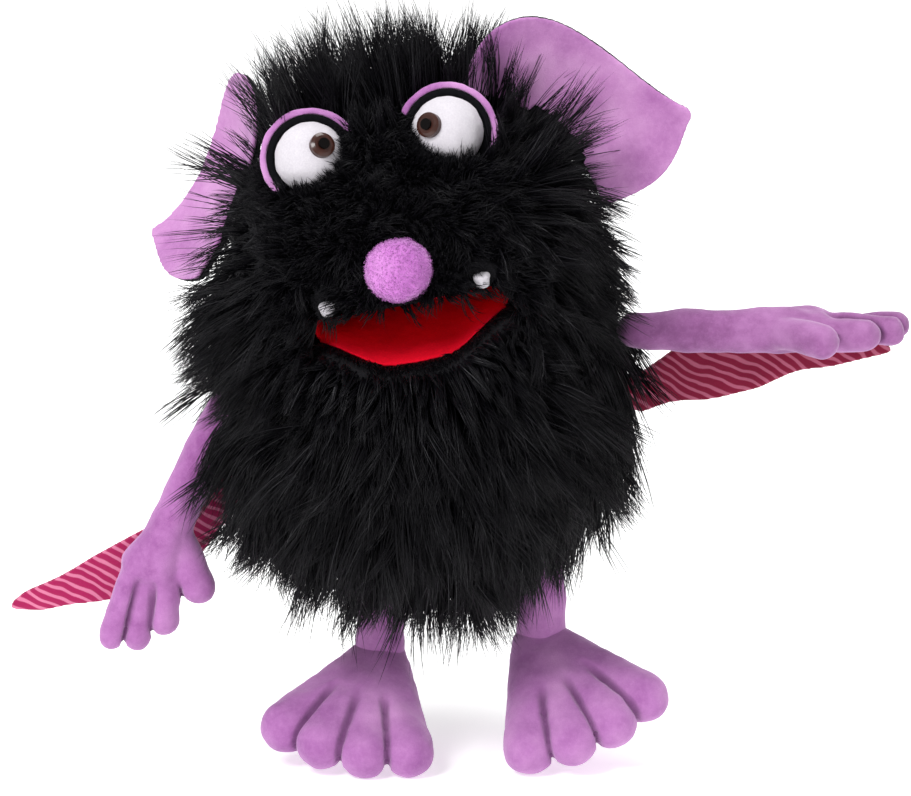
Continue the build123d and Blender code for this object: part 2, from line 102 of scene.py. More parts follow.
class Nodes:
    """A short way to write a node tree: make a node, set its inputs, join it to others."""

    def __init__(self, name):
        self.material = bpy.data.materials.new(name)
        self.material.use_nodes = True
        self.tree = self.material.node_tree
        self.surface = self.tree.nodes["Principled BSDF"]

    def add(self, kind, **inputs):
        node = self.tree.nodes.new(kind)
        for key, value in inputs.items():
            self.put(node, key.replace("_", " "), value)
        return node

    def put(self, node, key, value):
        if isinstance(value, bpy.types.NodeSocket):
            self.tree.links.new(value, node.inputs[key])
        else:
            node.inputs[key].default_value = value

    def noise(self, scale, detail=3, roughness=0.55):
        node = self.add("ShaderNodeTexNoise", Scale=scale, Detail=detail, Roughness=roughness)
        self.put(node, "Vector", self.place())
        return node.outputs["Fac"]

    def place(self):
        return self.add("ShaderNodeTexCoord").outputs["Object"]

    def ramp(self, fac, *stops):
        node = self.tree.nodes.new("ShaderNodeValToRGB")
        self.put(node, "Fac", fac)
        elements = node.color_ramp.elements
        for index, (at, colour) in enumerate(stops):
            stop = elements[index] if index < 2 else elements.new(at)
            stop.position = at
            stop.color = (*colour, 1)
        return node.outputs["Color"]

    def mix(self, fac, first, second, blend="MIX"):
        node = self.tree.nodes.new("ShaderNodeMix")
        node.data_type = "RGBA"
        node.blend_type = blend
        for socket, value in ((0, fac), (6, first), (7, second)):
            if isinstance(value, bpy.types.NodeSocket):
                self.tree.links.new(value, node.inputs[socket])
            else:
                node.inputs[socket].default_value = value if socket == 0 else (*value, 1)
        return node.outputs[2]

    def math(self, operation, *values):
        node = self.tree.nodes.new("ShaderNodeMath")
        node.operation = operation
        for index, value in enumerate(values):
            if isinstance(value, bpy.types.NodeSocket):
                self.tree.links.new(value, node.inputs[index])
            else:
                node.inputs[index].default_value = value
        return node.outputs[0]

    def attribute(self, name):
        node = self.tree.nodes.new("ShaderNodeAttribute")
        node.attribute_name = name
        return node.outputs["Fac"]

    def bump(self, height, strength, distance):
        node = self.add("ShaderNodeBump", Strength=strength, Distance=distance)
        self.put(node, "Height", height)
        self.put(self.surface, "Normal", node.outputs["Normal"])

    def finish(self, **inputs):
        for key, value in inputs.items():
            self.put(self.surface, key.replace("_", " "), value)
        return self.material


def pile_material():
    """Black hair: each strand has its own tone, evened out towards its tip; a few grey strands are painted
    highlights, and shine more.
    """
    n = Nodes("black_hair")
    tone = n.attribute("tone")
    along = n.attribute("along")
    # grey is the colour of the strands painted as highlights on the black hair
    dark, usual, grey = (0.0014, 0.0012, 0.0024), (0.004, 0.0036, 0.0062), (0.022, 0.021, 0.026)
    strand = n.ramp(tone, (0.0, dark), (0.8, usual), (1.0, grey))
    colour = n.mix(n.math("MULTIPLY", along, 0.5), strand, (0.0045, 0.004, 0.0055))
    rough = n.math("MULTIPLY_ADD", tone, -0.10, 0.50)
    shine = n.math("MULTIPLY_ADD", tone, 0.30, 0.10)
    return n.finish(Base_Color=colour, Roughness=rough, Specular_IOR_Level=shine)


def backing_material():
    """The dark pile close to the cloth, under the long hair."""
    n = Nodes("black_backing")
    coarse = n.noise(900, 4)
    colour = n.ramp(coarse, (0.3, (0.002, 0.002, 0.003)), (0.75, (0.010, 0.009, 0.012)))
    n.bump(coarse, 0.9, 1.2 * MM)
    return n.finish(Base_Color=colour, Roughness=0.9, Specular_IOR_Level=0.2)


def velour_material(name, colour, dark, light):
    """Short brushed pile: soft mottling where it was stroked, a fine nap, a pale sheen at the rim and painted
    shade along the creases between digits.
    """
    n = Nodes(name)
    strokes = n.noise(38, 3, 0.6)
    nap = n.noise(1500, 2, 0.7)
    speckle = n.noise(520, 3, 0.6)
    base = n.ramp(strokes, (0.30, dark), (0.50, colour), (0.72, light))
    base = n.mix(n.math("MULTIPLY", nap, 0.30), base, tuple(0.55 * c for c in colour), "MULTIPLY")
    base = n.mix(n.ramp(speckle, (0.45, (0, 0, 0)), (0.75, (0.22, 0.22, 0.22))), base, light)
    # Painted shade: darker along the creases between fingers and toes, by the crease weight.
    base = n.mix(n.math("MULTIPLY", n.attribute("seam"), 0.75), base, tuple(0.30 * c for c in dark))
    n.bump(n.math("ADD", nap, n.math("MULTIPLY", speckle, 0.6)), 0.55, 0.35 * MM)
    return n.finish(
        Base_Color=base,
        Roughness=0.92,
        Specular_IOR_Level=0.15,
        Sheen_Weight=0.55,
        Sheen_Roughness=0.45,
        Sheen_Tint=(0.95, 0.75, 0.97, 1),
    )


def felt_material(name, colour, shade, fibre=1100, bump=0.6, sheen=0.2):
    """Pressed felt: tangled fibres and a little unevenness of colour."""
    n = Nodes(name)
    fibres = n.noise(fibre, 5, 0.7)
    patches = n.noise(120, 2)
    base = n.mix(patches, colour, tuple(0.86 * c for c in colour))
    base = n.mix(n.ramp(fibres, (0.40, (0.55, 0.55, 0.55)), (0.62, (0, 0, 0))), base, shade)
    n.bump(fibres, bump, 0.3 * MM)
    return n.finish(
        Base_Color=base,
        Roughness=0.95,
        Specular_IOR_Level=0.04,
        Sheen_Weight=sheen,
        Sheen_Roughness=0.5,
    )


def weave_material(name, colour):
    """Plain woven cloth of the lining and the hem."""
    n = Nodes(name)
    waves = []
    for direction in ("X", "Z"):
        wave = n.add("ShaderNodeTexWave", Scale=700, Distortion=0.6)
        wave.bands_direction = direction
        n.put(wave, "Vector", n.place())
        waves.append(wave.outputs["Fac"])
    threads = n.math("MULTIPLY", *waves)
    base = n.mix(threads, tuple(0.5 * c for c in colour), colour)
    n.bump(threads, 0.5, 0.2 * MM)
    return n.finish(Base_Color=base, Roughness=0.9, Specular_IOR_Level=0.2)


def stripe_material(name, crimson, pink):
    """Crimson plush with wavering pink stripes that fork and break."""
    n = Nodes(name)
    place = n.place()
    turned = n.add("ShaderNodeMapping", Rotation=(0, math.radians(62), 0))
    n.put(turned, "Vector", place)
    wave = n.add("ShaderNodeTexWave", Scale=70, Distortion=8.5, Detail=2)
    n.put(wave, "Detail Scale", 0.55)
    n.put(wave, "Vector", turned.outputs["Vector"])
    nap = n.noise(1300, 3, 0.7)
    edge = n.math("ADD", wave.outputs["Fac"], n.math("MULTIPLY", nap, 0.16))
    base = n.ramp(edge, (0.66, crimson), (0.92, pink))
    n.bump(nap, 0.6, 0.3 * MM)
    return n.finish(Base_Color=base, Roughness=0.9, Specular_IOR_Level=0.15, Sheen_Weight=0.4)


def gloss_material(name, colour, shade, coat=0.3):
    """Moulded plastic of the safety eyes: a faint swirl of two browns or blacks under a clear gloss."""
    n = Nodes(name)
    swirl = n.noise(260, 2)
    return n.finish(
        Base_Color=n.mix(swirl, colour, shade),
        Roughness=0.3,
        Specular_IOR_Level=0.8 * coat,
        Coat_Weight=coat,
        Coat_Roughness=0.05,
    )


def moulded_material(name, colour):
    """Dull board or plastic inside the puppet, with a fine grain."""
    n = Nodes(name)
    grain = n.noise(700, 4)
    base = n.mix(grain, colour, tuple(0.7 * c for c in colour))
    n.bump(grain, 0.2, 0.15 * MM)
    return n.finish(Base_Color=base, Roughness=0.55)


# Each velour's usual colour, then the colours of its darkest and its lightest strokes.
LAVENDER = velour_material("lavender_velour", (0.45, 0.185, 0.455), (0.34, 0.115, 0.35), (0.57, 0.275, 0.56))
NOSE_PLUSH = velour_material("nose_plush", (0.52, 0.175, 0.53), (0.40, 0.12, 0.42), (0.64, 0.28, 0.64))
EAR_VELOUR = velour_material("ear_velour", (0.48, 0.210, 0.47), (0.37, 0.135, 0.37), (0.60, 0.31, 0.58))
# The arm velour comes twice: a lit copy, and a darker copy with painted shade.
ARM_SHADED = velour_material("arm_velour_shaded", (0.31, 0.115, 0.30), (0.19, 0.06, 0.18), (0.46, 0.21, 0.45))
ARM_LIT = velour_material("arm_velour", (0.42, 0.165, 0.42), (0.30, 0.095, 0.30), (0.54, 0.25, 0.53))
ARM_VELOUR = {"left": ARM_SHADED, "right": ARM_LIT}  # the left arm and hand get the darker copy: painted shade
WHITE_FELT = felt_material("white_felt", (0.62, 0.59, 0.63), (0.47, 0.44, 0.49))
RED_FELT = felt_material("red_felt", (0.88, 0.006, 0.028), (0.62, 0.003, 0.014), 900, 0.4, 0)
BLACK_CLOTH = weave_material("black_cloth", (0.012, 0.011, 0.014))
BLACK_FELT = felt_material("black_felt", (0.004, 0.004, 0.005), (0.008, 0.008, 0.010), sheen=0)
STRIPES = {  # the left wing hangs in the shade of its arm, so it gets the darker copy: painted shade
    "left": stripe_material("striped_plush_shaded", (0.20, 0.004, 0.032), (0.42, 0.10, 0.17)),
    "right": stripe_material("striped_plush", (0.33, 0.008, 0.078), (0.60, 0.17, 0.29)),
}
HAIR = pile_material()
BACKING = backing_material()
IRIS = gloss_material("brown_iris", (0.052, 0.014, 0.008), (0.016, 0.004, 0.003))
PUPIL = gloss_material("black_pupil", (0.002, 0.0015, 0.0015), (0.003, 0.002, 0.002), 0.08)
BOARD = moulded_material("mouth_board", (0.06, 0.06, 0.06))
WASHER = moulded_material("eye_washer", (0.05, 0.05, 0.05))
PADDING = felt_material("padding", (0.020, 0.019, 0.022), (0.010, 0.010, 0.012), 500)


# ---- mesh tools ----


def link(name, mesh, material):
    thing = bpy.data.objects.new(name, mesh)
    bpy.context.scene.collection.objects.link(thing)
    mesh.materials.clear()
    mesh.materials.append(material)
    mesh.polygons.foreach_set("use_smooth", np.ones(len(mesh.polygons), bool))
    return thing


def mesh_of(name, points, faces):
    mesh = bpy.data.meshes.new(name)
    mesh.from_pydata([tuple(p) for p in points], [], [tuple(f) for f in faces])
    mesh.update()
    return mesh


def triangles(name, points, tris):
    """A mesh of many triangles, filled without a Python loop."""
    mesh = bpy.data.meshes.new(name)
    mesh.vertices.add(len(points))
    mesh.vertices.foreach_set("co", np.asarray(points, np.float32).ravel())
    mesh.loops.add(3 * len(tris))
    mesh.loops.foreach_set("vertex_index", np.asarray(tris, np.int32).ravel())
    mesh.polygons.add(len(tris))
    mesh.polygons.foreach_set("loop_start", np.arange(0, 3 * len(tris), 3, dtype=np.int32))
    mesh.update(calc_edges=True)
    return mesh


def points_of(thing):
    flat = np.empty(3 * len(thing.data.vertices))
    thing.data.vertices.foreach_get("co", flat)
    return flat.reshape(-1, 3)


def normals_of(thing):
    flat = np.empty(3 * len(thing.data.vertices))
    thing.data.vertices.foreach_get("normal", flat)
    return flat.reshape(-1, 3)


def set_points(thing, points):
    thing.data.vertices.foreach_set("co", points.ravel())
    thing.data.update()


def bake(thing):
    """Applies every modifier."""
    bpy.context.view_layer.update()
    graph = bpy.context.evaluated_depsgraph_get()
    mesh = bpy.data.meshes.new_from_object(thing.evaluated_get(graph))
    thing.modifiers.clear()
    thing.data = mesh
    mesh.polygons.foreach_set("use_smooth", np.ones(len(mesh.polygons), bool))
    return thing


def remesh(thing, voxel, smooth=4):
    """Joins a thing's shells into one even skin, and rounds its edges as sewn cloth does."""
    modifier = thing.modifiers.new("voxels", "REMESH")
    modifier.mode = "VOXEL"
    modifier.voxel_size = voxel
    soft = thing.modifiers.new("soft", "SMOOTH")
    soft.iterations = smooth
    soft.factor = 0.5
    return bake(thing)


def subdivide(thing):
    thing.modifiers.new("fine", "SUBSURF").levels = 1
    return bake(thing)


def copy_of(name, material, *nodes):
    """One new object with the shape of some CAD nodes."""
    points, faces = [], []
    for node in nodes:
        source = frame["nodes"][node].data
        first = len(points)
        points += [tuple(v.co) for v in source.vertices]
        faces += [[first + i for i in p.vertices] for p in source.polygons]
    mesh = mesh_of(name, points, faces)
    shape = bmesh.new()
    shape.from_mesh(mesh)
    bmesh.ops.remove_doubles(shape, verts=shape.verts, dist=1e-6)
    shape.to_mesh(mesh)
    shape.free()
    return link(name, mesh, material)


def ripple(thing, depth, size, seed):
    """Moves each point along its normal by smooth noise, for the unevenness of stuffed cloth."""
    points, normals = points_of(thing), normals_of(thing)
    shift = Vector((seed * 7.3, seed * 3.1, seed * 5.7))
    amount = [
        noise.fractal(Vector(p) / size + shift, 0.7, 2.1, 2, noise_basis="PERLIN_ORIGINAL")
        for p in points
    ]
    set_points(thing, points + normals * (depth * np.array(amount))[:, None])


BALL_POINTS = 160


def ball_points(centre, radius):
    """Evenly spread points on a ball, along a spiral from pole to pole."""
    steps = np.arange(BALL_POINTS) + 0.5
    height = 1 - 2 * steps / BALL_POINTS
    turn = steps * math.pi * (3 - math.sqrt(5))
    flat = np.sqrt(1 - height * height)
    return np.asarray(centre) + radius * np.column_stack([flat * np.cos(turn), flat * np.sin(turn), height])


def hull(name, pairs, material):
    """One object holding the hull of each pair of balls, given as (centre, radius)."""
    points, faces = [], []
    for pair in pairs:
        shape = bmesh.new()
        new = [shape.verts.new(point) for ball in pair for point in ball_points(*ball)]
        wrapped = bmesh.ops.convex_hull(shape, input=new)
        loose = set(wrapped["geom_interior"] + wrapped["geom_unused"])
        inner = [part for part in loose if isinstance(part, bmesh.types.BMVert)]
        bmesh.ops.delete(shape, geom=inner, context="VERTS")
        shape.verts.index_update()
        first = len(points)
        points += [tuple(v.co) for v in shape.verts]
        faces += [[first + v.index for v in face.verts] for face in shape.faces]
        shape.free()
    return link(name, mesh_of(name, points, faces), material)


def from_segment(points, start, end):
    """Each point's distance from a segment, and how far along the segment it is, from 0 to 1."""
    run = end - start
    t = np.clip((points - start) @ run / (run @ run), 0, 1)
    return np.linalg.norm(points - start - t[:, None] * run, axis=1), t


def crease(thing, digits, depth, width, begin):
    """Draws the cloth in along the seam between each digit and the next, given as (root, tip, radius)."""
    points, normals = points_of(thing), normals_of(thing)
    seam = np.zeros(len(points))
    gaps = [(from_segment(points, root, tip), radius) for root, tip, radius in digits]
    for ((far, along), radius), ((next_far, next_along), next_radius) in zip(gaps, gaps[1:]):
        off = (far - radius) - (next_far - next_radius)
        near = smoothstep(9 * MM, 4 * MM, np.maximum(far - radius, next_far - next_radius))
        reach = smoothstep(begin, begin + 0.35, np.minimum(along, next_along))
        seam = np.maximum(seam, np.exp(-((off / width) ** 2)) * near * reach)
    set_points(thing, points - normals * (depth * seam)[:, None])
    # The velour reads this weight and paints shade along the crease.
    thing.data.attributes.new("seam", "FLOAT", "POINT").data.foreach_set("value", seam.astype(np.float32))


def dress(thing, slot, body, *nodes):
    """Puts a thing on a body, in place of some CAD nodes."""
    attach(thing, body)
    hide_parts(*nodes)


CLOTH_PRESSURE = 4.0
CLOTH_FRAMES = 16


def inflate(thing, pinned, cap):
    """Stuffs a cloth shell: a short pressure simulation. Points where pinned(points) is true stay."""
    rest = points_of(thing)
    group = thing.vertex_groups.new(name="seams")
    group.add([int(i) for i in np.flatnonzero(pinned(rest))], 1.0, "REPLACE")
    cloth = thing.modifiers.new("cloth", "CLOTH")
    cloth.settings.use_pressure = True
    cloth.settings.uniform_pressure_force = CLOTH_PRESSURE
    cloth.settings.vertex_group_mass = "seams"
    cloth.settings.effector_weights.gravity = 0
    cloth.settings.quality = 4
    cloth.point_cache.frame_start = 1
    cloth.point_cache.frame_end = CLOTH_FRAMES
    for step in range(1, CLOTH_FRAMES + 1):
        bpy.context.scene.frame_set(step)
    bake(thing)
    bpy.context.scene.frame_set(1)
    moved = points_of(thing) - rest
    far = np.linalg.norm(moved, axis=1, keepdims=True)
    set_points(thing, rest + moved * np.minimum(1, cap / np.maximum(far, 1e-9)))
    thing.vertex_groups.clear()


# ---- hair ----

STRAND_RINGS = 5
STRAND_LIMIT = 6400  # strands in one piece
SHORTEST_BEND = 0.6  # a strand whose root and tip point opposite ways isn't stretched past this


def scatter(thing, count, rng, keep):
    """Random places on a mesh's surface, with their normals, where keep(points, normals) is true."""
    mesh = thing.data
    mesh.calc_loop_triangles()
    tris = np.empty(3 * len(mesh.loop_triangles), np.int32)
    mesh.loop_triangles.foreach_get("vertices", tris)
    corners = points_of(thing)[tris.reshape(-1, 3)]
    cross = np.cross(corners[:, 1] - corners[:, 0], corners[:, 2] - corners[:, 0])
    normals = unit(cross)
    area = np.linalg.norm(cross, axis=1) * keep(corners.mean(axis=1), normals)
    picked = rng.choice(len(area), count, p=area / area.sum())
    a, b = rng.random((2, count, 1))
    flip = a + b > 1
    a, b = np.where(flip, 1 - a, a), np.where(flip, 1 - b, b)
    tri = corners[picked]
    return tri[:, 0] + a * (tri[:, 1] - tri[:, 0]) + b * (tri[:, 2] - tri[:, 0]), normals[picked]


def comb(roots, lock_size, first, last, length, rng, gather=0.8, frizz=0.12, uneven=0.22):
    """The centre lines of strands, gathered into pointed locks: an array of strand, ring, xyz.

    first and last are each strand's direction at its root and at its tip. Also returns the lock that
    each strand belongs to and the number of locks.
    """
    count = len(roots)
    locks = max(1, count // lock_size)
    heads = rng.choice(count, locks, replace=False)
    tree = kdtree.KDTree(locks)
    for index, head in enumerate(heads):
        tree.insert(roots[head], index)
    tree.balance()
    lock = np.array([tree.find(root)[1] for root in roots])
    head = heads[lock]
    sway = 0.30 * rng.standard_normal((locks, 3))
    first, last = unit(first[head] + 0.4 * sway[lock]), unit(last[head] + sway[lock])
    reach = length[head] * rng.uniform(1 - uneven, 1 + uneven, locks)[lock] * rng.uniform(0.74, 1.0, count)
    t = np.linspace(0, 1, STRAND_RINGS + 1)[None, :, None]
    line = first[:, None] * (t - t * t / 2) + last[:, None] * (t * t / 2)
    span = np.maximum(np.linalg.norm(line[:, -1:], axis=2, keepdims=True), SHORTEST_BEND)
    line = line / span * reach[:, None, None]
    pull = gather * t**1.2
    wave = frizz * reach[:, None, None] * t**1.5 * rng.standard_normal((count, 1, 3))
    shift = (roots[head] - roots)[:, None]
    return roots[:, None] + shift * pull + line + wave * (1 - 0.5 * t), lock, locks


def strands(name, lines, thickness, tone, material, rng):
    """Closed three-sided tapering strands along centre lines; returns the new objects."""
    made = []
    rings = STRAND_RINGS
    for part, start in enumerate(range(0, len(lines), STRAND_LIMIT)):
        line = lines[start : start + STRAND_LIMIT]
        count = len(line)
        along = unit(np.gradient(line, axis=1))
        side = unit(np.cross(along, unit(rng.standard_normal((count, 1, 3)))))
        lift = np.cross(side, along)
        t = np.linspace(0, 1, rings + 1)
        width = thickness[start : start + STRAND_LIMIT, None] * (1 - 0.85 * t[None, :rings] ** 1.6)
        points = np.empty((count, 3 * rings + 1, 3))
        for k in range(3):
            turn = 2 * math.pi * k / 3
            offset = math.cos(turn) * side[:, :rings] + math.sin(turn) * lift[:, :rings]
            points[:, k : 3 * rings : 3] = line[:, :rings] + offset * width[..., None]
        points[:, -1] = line[:, rings]
        tris = [(2, 1, 0)]
        for ring in range(rings - 1):
            low, high = 3 * ring, 3 * ring + 3
            for k in range(3):
                j = (k + 1) % 3
                tris += [(low + k, low + j, high + j), (low + k, high + j, high + k)]
        top = 3 * (rings - 1)
        tris += [(top + k, top + (k + 1) % 3, 3 * rings) for k in range(3)]
        every = (np.array(tris)[None] + (np.arange(count) * (3 * rings + 1))[:, None, None]).reshape(-1, 3)
        mesh = triangles(f"{name}_{part + 1}", points.reshape(-1, 3), every)
        ends = np.append(np.repeat(t[:rings], 3), 1.0)
        for key, values in (
            ("tone", np.repeat(tone[start : start + STRAND_LIMIT], 3 * rings + 1)),
            ("along", np.tile(ends, count)),
        ):
            mesh.attributes.new(key, "FLOAT", "POINT").data.foreach_set("value", values.astype(np.float32))
        made.append(link(f"{name}_{part + 1}", mesh, material))
    return made


def ride_all(things, body):
    for thing in things:
        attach(thing, body)


# ---- the cloth under the hair ----

BODY_AT = from_head((0, 0, -42))
BODY_FUR_RADIUS = 103 * MM
HEAD_BACKING_RADIUS = 84
BODY_BACKING_RADIUS = 89 * MM
PELT_SHARE = 0.7  # how much of the pelt's thickness outside those radii is hair
FLAT_SHARE = 0.95  # and on the left side, where it lies flat
FACE_WAY = unit(np.array((0, -1, 0.45)))
LIP_LIFT = 12


def under_skin(name, voxel, body, seed, reshape, *nodes):
    """The cloth that the hair grows from, drawn in so that the hair fills the CAD's outer size."""
    skin = remesh(copy_of(name, BACKING, *nodes), voxel)
    set_points(skin, reshape(points_of(skin)))
    ripple(skin, 1.2 * MM, 18 * MM, seed)
    dress(skin, "black_pile", body, *nodes)
    return skin


def flat_side(p):
    """How far a point of the head is on its lower left side, where the hair hangs flat."""
    return smoothstep(5, 55, p[:, 0]) * smoothstep(52, 20, p[:, 2])


def draw_in_head(points):
    """The face keeps its shape, and the crown is drawn in half as far as the sides."""
    p = to_head(points)
    radius = np.linalg.norm(p, axis=1)
    face = smoothstep(0.45, 0.72, unit(p) @ FACE_WAY)
    crown = smoothstep(40, 75, p[:, 2])
    share = PELT_SHARE + (FLAT_SHARE - PELT_SHARE) * flat_side(p)
    drop = share * np.maximum(radius - HEAD_BACKING_RADIUS, 0) * (1 - face) * (1 - 0.5 * crown)
    return from_head(p * (1 - drop / radius)[:, None])


def draw_in_body(points):
    q = points - BODY_AT
    radius = np.linalg.norm(q, axis=1)
    share = PELT_SHARE + (FLAT_SHARE - PELT_SHARE) * smoothstep(0, 60 * MM, q[:, 0])
    drop = share * np.maximum(radius - BODY_BACKING_RADIUS, 0)
    return BODY_AT + q * (1 - drop / radius)[:, None]


def lift_lip(points):
    """Raises the ends of the lower lip towards the mouth's corners, which rounds the open mouth."""
    p = to_head(points)
    ahead = smoothstep(12, 66, -p[:, 1])
    lower = smoothstep(2, -6, np.degrees(np.arctan2(p[:, 2], -p[:, 1])))
    near_lip = smoothstep(-46, -24, p[:, 2])
    p[:, 2] += LIP_LIFT * smoothstep(12, 46, np.abs(p[:, 0])) * ahead * lower * near_lip
    return from_head(p)


# ---- the coat of hair ----

HEAD_HAIRS = 21500
EYE_TUFT_HAIRS = 1500
FACE_HAIRS = 12000
CHIN_HAIRS = 5200
BODY_HAIRS = 19200
CURL_SEED = 19
DEPTH_LIMIT = 119 * MM  # no hair of the head and body reaches further to the front or the back
DEPTH_EASE = 16 * MM  # this far inside that limit it starts to be laid flat
SHORTENED = 6  # millimetres, where an ear has to show
EAR_ROOT_REACH = 21 * MM  # the hair stays long this close to an ear's root, and hides it
FACE_EDGE = 46
EYE_AT = (33, -46, 82)  # in the head frame, on the left side
FANG_AT = (37, -80, 22)


def turned(v):
    """Directions of the head frame to the scene's."""
    return v @ HEAD_AXES.T


def shade_of(count, lock, locks, rng, pale):
    """Each strand's tone: mostly black, some whole locks slightly lighter and a few single grey strands, which are
    painted highlights.
    """
    lock_tone = rng.beta(1.5, 5, locks)[lock]
    tone = 0.75 * lock_tone + 0.15 * rng.random(count)
    # Painted highlights: this share of the strands takes the grey end of the tone.
    grey = rng.random(count) < pale
    return np.where(grey, rng.uniform(0.85, 1.0, count), tone)


def inside_depth(lines):
    """Lays hair that would stick out too far to the front or back against the ball again."""
    y = lines[..., 1]
    soft = DEPTH_LIMIT - DEPTH_EASE
    over = np.maximum(np.abs(y) - soft, 0)
    lines[..., 1] = np.sign(y) * (np.minimum(np.abs(y), soft) + DEPTH_EASE * (1 - np.exp(-over / DEPTH_EASE)))
    return lines


def grow(name, body, roots, ways, length, rng, lock_size, thick, pale=0.05, dim=1.0, **habit):
    """Adds hair to a body. ways holds the strands' directions at the root and at the tip.

    thick is the thinnest and the thickest strand's radius in millimetres, pale is the share of grey
    strands, which are painted highlights, and dim darkens them all; habit goes to comb.
    """
    lines, lock, locks = comb(roots, lock_size, *ways, length, rng, **habit)
    if not body.startswith("ear"):
        lines = inside_depth(lines)
    thickness = rng.uniform(*thick, len(roots)) * MM
    tone = dim * shade_of(len(roots), lock, locks, rng, pale)
    ride_all(strands(name, lines, thickness, tone, HAIR, rng), body)


def feature_room(points):
    """True away from the eyes and the fangs, so that no hair grows across them."""
    p = to_head(points)
    clear = np.ones(len(p), bool)
    for way in SIDES.values():
        clear &= np.linalg.norm(p - np.array(EYE_AT) * (way, 1, 1), axis=1) > 20
        clear &= np.linalg.norm(p - np.array(FANG_AT) * (way, 1, 1), axis=1) > 7
    return clear


def head_outside(points, normals):
    """True on the outer side of the head's pelt, above the neck."""
    p = to_head(points)
    out = ((normals @ HEAD_AXES) * unit(p)).sum(axis=1) > 0.35
    return out & (np.linalg.norm(p, axis=1) > 78) & (p[:, 2] > -34)


def on_face(p):
    return (p[:, 1] < -30) & (np.abs(p[:, 0]) < FACE_EDGE + 12) & (p[:, 2] < 92)


def long_zone(points, normals):
    """Everywhere on the head but in the middle of the face."""
    p = to_head(points)
    inner_face = (p[:, 1] < -44) & (np.abs(p[:, 0]) < FACE_EDGE - 4) & (p[:, 2] < 84)
    return head_outside(points, normals) & ~inner_face & feature_room(points)


def short_zone(points, normals):
    return head_outside(points, normals) & on_face(to_head(points)) & feature_room(points)


def grows_long(points, rng):
    """True for the hairs that grow to their full length: few do in front of the ears, so the ears show."""
    p = to_head(points)
    right_ear = (p[:, 1] > -66) & (p[:, 1] < 62) & (p[:, 0] < -50) & (p[:, 2] < 86)
    left_ear = (p[:, 1] > -34) & (p[:, 1] < 16) & (p[:, 0] > 40) & (p[:, 2] > 44)
    sparse = 0.10 + 0.90 * smoothstep(38, 14, p[:, 2])
    share = np.where(right_ear, sparse, np.where(left_ear, 0.5, 1.0))
    for side in SIDES:
        from_root = np.linalg.norm(points - joint_at(f"ear_{side}_flop"), axis=1)
        share = np.where(from_root < EAR_ROOT_REACH, 1.0, share)
    return rng.random(len(p)) < share


def long_hair_ways(p, n):
    """The head's long hair stands up at the crown, fans out at the sides and hangs at the back."""
    out = unit(p)
    crown = smoothstep(20, 88, p[:, 2])[:, None]
    back = smoothstep(15, 70, p[:, 1])[:, None]
    spread = 0.74 - 0.60 * flat_side(p)[:, None]
    up_flow = 0.55 * out + UP * 0.75
    down_flow = spread * unit(p * (1, 0.25, 0)) - UP * 0.72 + 0.1 * out
    back_flow = out * 0.35 - UP * 0.8 * (1 - crown) + UP * 0.35 * crown
    flow = crown * up_flow + (1 - crown) * down_flow
    flow = flow * (1 - 0.75 * back) + back * back_flow
    first = unit((0.4 + 0.35 * np.maximum(crown, spread)) * n + 0.6 * flow)
    return turned(first), turned(unit(flow + 0.1 * n))


def long_hair_length(p, full_length):
    """Millimetres: longest at the crown and the cheeks, shorter around the face and at the back."""
    crown = smoothstep(20, 88, p[:, 2])
    length = 34 - 7 * flat_side(p) + 12 * crown + 4 * (1 - crown) * smoothstep(40, 85, np.abs(p[:, 0]))
    length = np.where(on_face(p), 17 + 0.16 * np.abs(p[:, 0]), length)
    length = length * (1 - 0.25 * smoothstep(15, 70, p[:, 1]))
    brow = (smoothstep(-20, -70, p[:, 1]) > 0.3) & (p[:, 2] > 84)
    length = np.where(brow, 24 + 14 * smoothstep(84, 104, p[:, 2]), length)
    return np.where(full_length, length, SHORTENED)


def build_long_hair(skin, rng):
    roots, normals = scatter(skin, HEAD_HAIRS, rng, long_zone)
    full_length = grows_long(roots, rng)
    p = to_head(roots)
    ways = long_hair_ways(p, normals @ HEAD_AXES)
    length = long_hair_length(p, full_length) * MM
    grow("head_hair", "head", roots, ways, length, rng, 15, (0.22, 0.38), gather=0.9, uneven=0.3)


def build_eye_tuft(skin, side, way):
    """Short pile that laps over the lower edge of an eye, most of it on the nose's side."""
    rng = np.random.default_rng(17 + way)
    eye = np.array((way * 33, -45, 83))
    under = unit(np.array((-way * 0.6, 0, -0.8)))

    def zone(points, normals):
        away = to_head(points) - eye
        far = np.linalg.norm(away, axis=1)
        facing = (normals @ HEAD_AXES)[:, 1] < -0.2
        return (far > 17.2) & (far < 24) & (away @ under > 0.35 * far) & facing

    roots, normals = scatter(skin, EYE_TUFT_HAIRS, rng, zone)
    n = normals @ HEAD_AXES
    to_eye = unit(eye + (0, -14, 0) - to_head(roots))
    ways = turned(unit(n + 0.3 * to_eye)), turned(unit(0.5 * n + 0.9 * to_eye))
    length = rng.uniform(7, 12, len(roots)) * MM
    grow(
        f"eye_tuft_{side}", "head", roots, ways, length, rng, 9, (0.22, 0.36),
        pale=0.02, dim=0.8, gather=0.7, frizz=0.25,
    )


